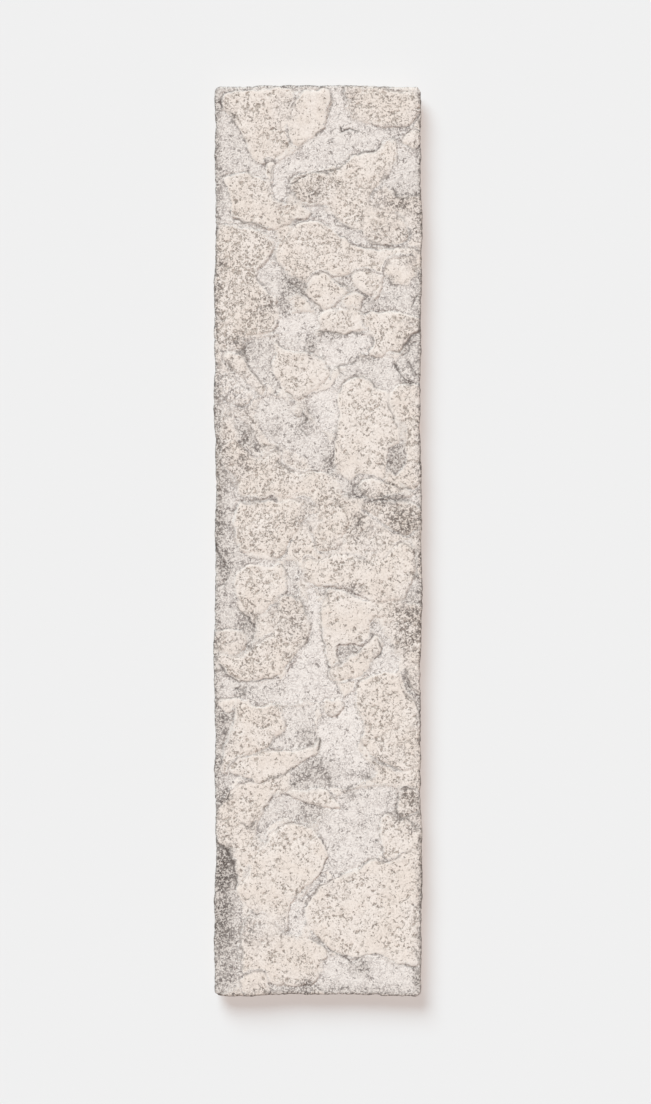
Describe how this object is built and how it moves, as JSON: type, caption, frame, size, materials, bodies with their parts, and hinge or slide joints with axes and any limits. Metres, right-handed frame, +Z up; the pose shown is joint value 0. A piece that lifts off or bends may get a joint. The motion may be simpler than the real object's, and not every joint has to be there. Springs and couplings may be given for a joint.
{
  "type": "ceramic wall panel",
  "caption": "Tall narrow ceramic wall panel with torn clay plates in low relief on a gritty pale ground, and a hanging rim set in from the edges on its back.",
  "frame": {"origin": "middle of the back of the rim's top rib, on the wall", "axes": "+Z up along the panel's height, +Y into the wall, so the face looks along -Y and +X is to a viewer's right"},
  "size_m": [0.2786, 0.031, 1.2128],
  "materials": {
    "fired_clay": "dry matt, unglazed, cream slip over pale gritty grey clay"
  },
  "bodies": {
    "root": {"panel": "fired_clay"}
  },
  "joints": []
}
